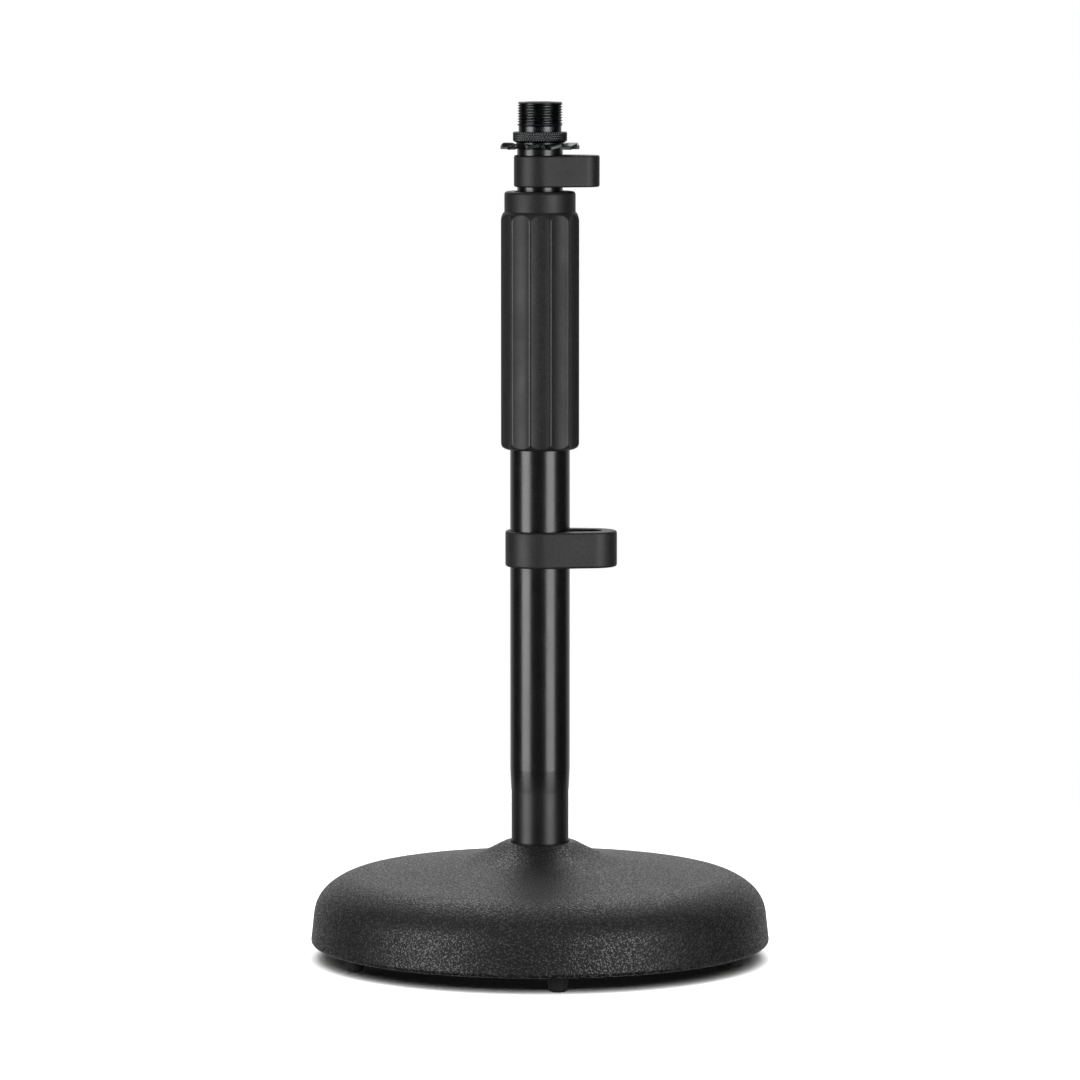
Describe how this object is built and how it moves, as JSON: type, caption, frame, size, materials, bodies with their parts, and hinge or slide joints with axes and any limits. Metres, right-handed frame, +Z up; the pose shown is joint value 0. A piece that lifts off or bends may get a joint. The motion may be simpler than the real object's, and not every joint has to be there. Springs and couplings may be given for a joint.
{
  "type": "desktop microphone stand",
  "caption": "Short table microphone stand: round cast base, telescopic pole with a fluted twist-lock grip, cable clips and a threaded top.",
  "frame": {"origin": "centre of the stand on the table, on the pole's axis", "axes": "+Z up along the pole; +X to the side the cable clips point; -Y towards the front"},
  "size_m": [0.1618, 0.1618, 0.3028],
  "materials": {
    "crinkle_black": "black crinkle powder coat",
    "foot_rubber": "matte moulded rubber",
    "gloss_black": "gloss black stoved enamel",
    "zinc_steel": "zinc plated",
    "black_steel": "black oxide",
    "grip_plastic": "satin, finely grained",
    "clip_plastic": "matte, finely grained",
    "white_nylon": "natural nylon",
    "brass": "turned"
  },
  "bodies": {
    "stand_base": {"base_casting": "crinkle_black", "rubber_foot_1": "foot_rubber", "rubber_foot_2": "foot_rubber", "rubber_foot_3": "foot_rubber", "rubber_foot_4": "foot_rubber", "rubber_foot_5": "foot_rubber", "base_bolt": "zinc_steel", "bolt_flat_washer": "zinc_steel", "bolt_spring_washer": "zinc_steel", "tube_bottom_plug": "zinc_steel", "outer_tube": "gloss_black", "clutch_bush": "brass", "clutch_collet": "white_nylon"},
    "twist_grip": {"grip": "grip_plastic", "grip_thread_insert": "brass"},
    "mast": {"inner_tube": "gloss_black", "guide_bush": "white_nylon", "top_stud": "black_steel", "star_washer": "black_steel"},
    "adapter": {"thread_adapter": "black_steel"},
    "upper_clip": {"upper_cable_clip": "clip_plastic"},
    "lower_clip": {"lower_cable_clip": "clip_plastic"}
  },
  "joints": [
    {"name": "mast_slide", "type": "slide", "parent": "stand_base", "child": "mast", "axis": [0, 0, 1], "range_m": [0, 0.108]},
    {"name": "grip_twist", "type": "hinge", "parent": "stand_base", "child": "twist_grip", "pos_m": [0, 0, 0.226], "axis": [0, 0, 1], "range_deg": [0, 180]},
    {"name": "adapter_screw", "type": "hinge", "parent": "mast", "child": "adapter", "pos_m": [0, 0, 0.295], "axis": [0, 0, 1], "continuous": true},
    {"name": "upper_clip_turn", "type": "hinge", "parent": "mast", "child": "upper_clip", "pos_m": [0, 0, 0.2786], "axis": [0, 0, 1], "continuous": true},
    {"name": "lower_clip_slide", "type": "slide", "parent": "stand_base", "child": "lower_clip", "axis": [0, 0, 1], "range_m": [-0.095, 0.0275]}
  ]
}
